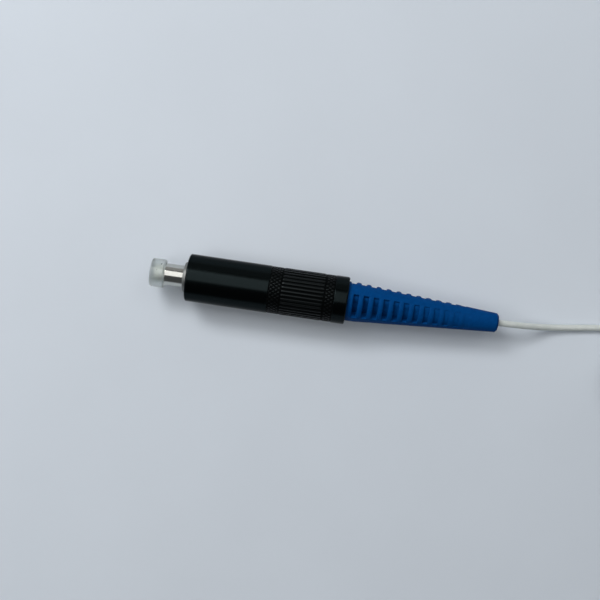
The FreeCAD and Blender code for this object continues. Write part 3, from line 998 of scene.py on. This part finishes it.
def raiseFloors(boot):
    # The slots' floors rise towards their upper ends.
    s = bootSet
    for point in boot.data.vertices:
        skin = bootSkin(point.co.x / mm)
        away = awayOf(point.co)
        fromEnd = (rollOf(point.co) - s["roll"] + s["sweep"] / 2 + s["rollSlack"]) % (360 / s["rows"])
        floorTop = skin - s["floorShare"] * max(s["floorSpan"], skin - s["core"])
        if s["floorLowest"] < away < floorTop and fromEnd < s["rampSweep"]:
            rise = easeBetween(fromEnd, s["rampSweep"] / 2, s["rampSweep"])
            depth = (skin - away) * (s["rampDepth"] + (1 - s["rampDepth"]) * rise)
            moveAway(point.co, away, skin - depth)


def roundRims(boot):
    # Rounds the front edge and the slots' rims, less where a slot is shallow.
    s = bootSet
    editPiece(boot, "EDGE")
    bpy.ops.object.mode_set(mode="EDIT")
    bpy.ops.mesh.edges_select_sharp(sharpness=math.radians(s["sharpAngle"]))
    leaveEdit()
    weights = boot.data.attributes.new("bevel_weight_edge", "FLOAT", "EDGE")
    for edge in boot.data.edges:
        ends = [boot.data.vertices[number].co for number in edge.vertices]
        skins = [bootSkin(end.x / mm) for end in ends]
        sunk = max(skin - awayOf(end) for skin, end in zip(skins, ends))
        widest = s["edgeShare"] * max(min(skins) - s["core"], s["leastDepth"])
        if edge.select and sunk < max(s["rimDrop"], widest):
            weights.data[edge.index].value = min(1.0, widest / s["edge"])
    bevel = boot.modifiers.new("softRims", "BEVEL")
    bevel.width = s["edge"] * mm
    bevel.segments = s["edgeSteps"]
    bevel.limit_method = "WEIGHT"
    bevel.use_clamp_overlap = False
    bpy.ops.object.modifier_apply(modifier=bevel.name)
    boot.data.attributes.remove(boot.data.attributes["bevel_weight_edge"])


def makeBoot(finish):
    s = bootSet
    front = s["front"]
    end = front + s["length"]
    taperFront = front + s["plain"]
    slotFront = front + s["slotFront"]
    rowStep = s["pitch"] / s["pitchRows"]
    # Rings from the first slot of the first row to the end of the last slot of the last row
    lastStart = s["pitchRows"] * (s["slots"] - 1) + s["pitchRows"] * (s["rows"] - 1) // s["rows"]
    stops = [slotFront + rowStep * number for number in range(lastStart + s["slotRows"] + 1)]
    if min(abs(taperFront - stop) for stop in stops) > s["ringGap"]:
        stops = sorted(stops + [taperFront])
    profile = [(front, s["socketRadius"]), (front, s["radius"])]
    profile += [(x, bootSkin(x)) for x in stops]
    profile += [
        (end - s["tipBevel"], s["tipRadius"]),
        (end, s["tipRadius"] - s["tipBevel"]),
        (end, s["tipBore"]),
        (end - s["tipBoreLength"], s["tipBore"]),
        (end - s["tipBoreLength"], s["bore"]),
        (front + s["socketLength"], s["bore"]),
        (front + s["socketLength"], s["socketRadius"]),
        (front, s["socketRadius"]),
    ]
    boot = turnProfile("slotted_boot", profile, s["segments"], s["support"])
    # Turn the columns so that the slots' ends fall on them
    offset = (s["roll"] - s["sweep"] / 2) % (360 / s["segments"])
    about = Matrix.Translation((0, 0, axisZ))
    boot.data.transform(about @ Matrix.Rotation(math.radians(offset), 4, "X") @ about.inverted())
    cutSlots(boot, slotFront, rowStep)
    crownRidges(boot, slotFront, rowStep)
    raiseFloors(boot)
    roundRims(boot)
    finishPiece(boot, "plug", finish)
    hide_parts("boot")


# Plated body: nose, collar, latch flange and the rear barrel
bodySet = {
    "segments": 128,
    "front": -22.63,
    "noseRadius": 1.55,
    "noseChamfer": 0.12,
    "noseBore": 1.28,
    "collarFront": -19.87,
    "collarRadius": 2.1,
    "collarChamfer": 0.1,
    "clipFront": -14.75,
    "clipWidth": 0.35,
    "clipSeat": 1.95,
    "flangeFront": -13.1,
    "flangeLength": 1.0,
    "flangeRadius": 2.7,
    "barrelRadius": 2.2,
    "chamberFront": -12.9,
    "chamberRadius": 1.85,
    "rear": -3.0,
    "edge": 0.03,
    "support": 0.06,
}


def makeBody(finish):
    s = bodySet
    flangeRear = s["flangeFront"] + s["flangeLength"]
    profile = [
        (s["front"], s["noseBore"]),
        (s["front"], s["noseRadius"] - s["noseChamfer"]),
        (s["front"] + s["noseChamfer"], s["noseRadius"]),
        (s["collarFront"], s["noseRadius"]),
        (s["collarFront"], s["collarRadius"] - s["collarChamfer"]),
        (s["collarFront"] + s["collarChamfer"], s["collarRadius"]),
        (s["clipFront"], s["collarRadius"]),
        (s["clipFront"], s["clipSeat"]),
        (s["clipFront"] + s["clipWidth"], s["clipSeat"]),
        (s["clipFront"] + s["clipWidth"], s["collarRadius"]),
        (s["flangeFront"], s["collarRadius"]),
        (s["flangeFront"], s["flangeRadius"]),
        (flangeRear, s["flangeRadius"]),
        (flangeRear, s["barrelRadius"]),
        (s["rear"], s["barrelRadius"]),
        (s["rear"], s["chamberRadius"]),
        (s["chamberFront"], s["chamberRadius"]),
        (s["chamberFront"], s["noseBore"]),
        (s["front"], s["noseBore"]),
    ]
    body = turnProfile("nickel_nose", profile, s["segments"], s["support"])
    finishPiece(body, "plug", finish, s["edge"])
    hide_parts("plug_body")


# Ceramic ferrule with a bevelled, slightly domed tip and the glass's hole
ferruleSet = {
    "segments": 96,
    "bore": 0.07,
    "chamfer": 0.2,
    "dome": 0.03,
    "domeRing": 0.6,  # of the face's radius, where the dome has dropped by a third
    "edge": 0.03,
    "support": 0.06,
}


def makeFerrule(finish):
    low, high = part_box("ferrule")
    front, rear = low.x / mm, high.x / mm
    radius = (high.z - low.z) / 2 / mm
    s = ferruleSet
    profile = [
        (front, s["bore"]),
        (front + s["dome"] / 3, (radius - s["chamfer"]) * s["domeRing"]),
        (front + s["dome"], radius - s["chamfer"]),
        (front + s["chamfer"] + s["dome"], radius),
        (rear, radius),
        (rear, s["bore"]),
        (front, s["bore"]),
    ]
    ferrule = turnProfile("ceramic_ferrule", profile, s["segments"], s["support"])
    finishPiece(ferrule, "ferrule_unit", finish, s["edge"])
    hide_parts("ferrule")


# Clear dust cap: a short round-edged cup
capSet = {
    "segments": 96,
    "wall": 0.4,
    "bore": 1.27,
    "round": 0.2,
    "roundSteps": 5,
    "mouthFlare": 0.08,
    "innerRing": 0.4,
    "frontRing": 0.3,  # of the flat front's radius
    "frontSlack": 0.002,
    "edge": 0.04,
    "support": 0.07,
}


def makeCap(finish):
    low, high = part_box("dust_cap")
    front, rear = low.x / mm, high.x / mm
    radius = (high.z - low.z) / 2 / mm
    s = capSet
    corner = []
    for step in range(s["roundSteps"] + 1):
        angle = math.pi / 2 * step / s["roundSteps"]
        drop = s["round"] * (1 - math.cos(angle))
        corner.append((front + s["round"] * (1 - math.sin(angle)), radius - drop))
    inner = [
        (rear, radius),
        (rear, s["bore"] + s["mouthFlare"]),
        (rear - s["mouthFlare"], s["bore"]),
        (front + s["wall"], s["bore"]),
        (front + s["wall"], s["innerRing"]),
        (front + s["wall"], 0.0),
    ]
    profile = list(reversed(corner)) + inner
    cap = turnProfile("clear_cap", profile, s["segments"], s["support"])
    # Close the front face to a point in the middle
    lowest = min(point.co.x for point in cap.data.vertices)
    selectPoints(cap, lambda point: abs(point.x - lowest) < s["frontSlack"] * mm)
    bpy.ops.mesh.extrude_region_move()
    scaleRound(s["frontRing"])
    bpy.ops.mesh.extrude_region_move()
    bpy.ops.mesh.merge(type="CENTER")
    bpy.ops.mesh.select_all(action="SELECT")
    bpy.ops.mesh.normals_make_consistent(inside=False)
    leaveEdit()
    finishPiece(cap, "cap", finish, s["edge"])
    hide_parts("dust_cap")


# Coil springs, hidden in the plug
springSet = {
    "ferrule_coil": {
        "node": "ferrule_spring",
        "joint": "ferrule_float",
        "travel": 0.8,
        "wire": 0.3,
        "turns": 5,
    },
    "sleeve_coil": {
        "node": "sleeve_spring",
        "joint": "sleeve_release",
        "travel": 1.2,
        "wire": 0.26,
        "turns": 4,
    },
}
coilSet = {
    "sides": 10,
    "steps": 40,
    "smoothAngle": 50,
}


def makeSprings(finish):
    for name, values in springSet.items():
        low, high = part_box(values["node"])
        wire = values["wire"] * mm
        length = high.x - low.x
        radius = (high.z - low.z - wire) / 2
        deselectAll()
        start = (low.x + wire / 2, 0, radius)
        bpy.ops.mesh.primitive_circle_add(vertices=coilSet["sides"], radius=wire / 2,
                                          location=start, rotation=(math.pi / 2, 0, 0))
        spring = bpy.context.object
        spring.name = name
        bpy.ops.object.transform_apply(location=True, rotation=True, scale=True)
        coil = spring.modifiers.new("coil", "SCREW")
        coil.axis = "X"
        coil.screw_offset = (length - wire) / values["turns"]
        coil.iterations = values["turns"]
        coil.steps = coilSet["steps"]
        coil.render_steps = coilSet["steps"]
        bpy.ops.object.modifier_apply(modifier=coil.name)
        spring.location.z = axisZ
        bpy.ops.object.transform_apply(location=True, rotation=True, scale=True)
        mergePoints(spring)
        bpy.ops.mesh.fill_holes(sides=coilSet["sides"])
        bpy.ops.mesh.select_all(action="SELECT")
        bpy.ops.mesh.normals_make_consistent(inside=False)
        leaveEdit()
        finishPiece(spring, "plug", finish, smoothAngle=coilSet["smoothAngle"])
        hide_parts(values["node"])
        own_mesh(spring)


addCamera()
addLights()
addRoom()
addFloor()
print("camera, room and floor ready")

buffer = plainFinish("whiteBuffer", bufferSet)
lead = makeLead(buffer)
strap = makeStrap(strapWeave())

nickel = nickelPlate()
makeBody(nickel)
makeFerrule(plainFinish("whiteCeramic", ceramicSet))
makeCap(plainFinish("clearCapPlastic", clearSet))
makeSleeve(plainFinish("blackAnodised", anodisedSet))
makeBand(blackMoulded())
makeBoot(plainFinish("blueRubber", rubberSet))
steel = plainFinish("springSteel", steelSet)
makeSprings(steel)

# The inner pieces keep their own solids and take their finish here
innerFinish = {
    "glass_fibre": plainFinish("fibreGlass", glassSet),
    "ferrule_holder": nickel,
    "buffer_tail": buffer,
    "latch_collet": plainFinish("latchBrass", brassSet),
    "latch_clip": steel,
    "spring_washer": steel,
    "rear_post": nickel,
    "rear_nut": nickel,
    "liner_tube": plainFinish("linerPlastic", linerSet),
}
for name, finish in innerFinish.items():
    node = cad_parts[name]
    node.data.materials.clear()
    node.data.materials.append(finish)
print("inner pieces finished")
